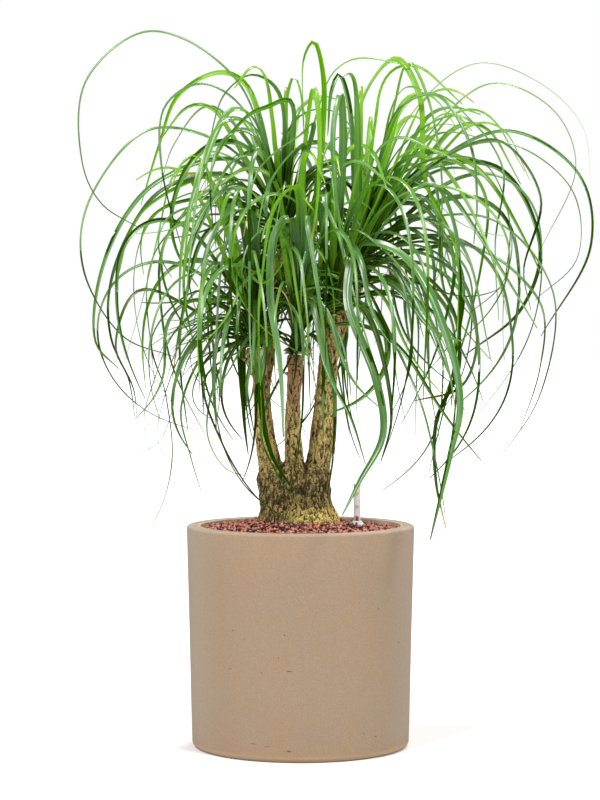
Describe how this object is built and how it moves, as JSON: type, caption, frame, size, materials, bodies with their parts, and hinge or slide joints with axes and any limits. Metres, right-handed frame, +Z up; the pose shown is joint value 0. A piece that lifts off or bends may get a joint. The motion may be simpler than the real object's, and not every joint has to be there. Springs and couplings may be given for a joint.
{
  "type": "potted ponytail palm",
  "caption": "Ponytail palm with a swollen foot, bare stems and arching strap leaves, in a round planter of clay granules with a water gauge",
  "frame": {"origin": "the middle of the planter's flat underside", "axes": "+Z up, the front faces -Y, +X to the right seen from the front"},
  "size_m": [0.7867, 0.5198, 1.0893],
  "materials": {
    "planter": "stone-washed, fine grain, matt",
    "clay": "fired clay grains, matt",
    "bark": "fissured bark",
    "leaf": "satin leaf surface with fine lengthwise veins",
    "clear_tube": "clear plastic",
    "gauge_white": "moulded plastic",
    "float_red": "moulded plastic"
  },
  "bodies": {
    "root": {"pot": "planter", "granules": "clay", "trunk": "bark", "leaves_left": "leaf", "leaves_centre": "leaf", "leaves_right": "leaf", "leaves_upper": "leaf", "leaves_fan": "leaf", "gauge_tube": "clear_tube", "gauge_cap": "gauge_white", "gauge_collar": "gauge_white", "gauge_float": "float_red"}
  },
  "joints": []
}
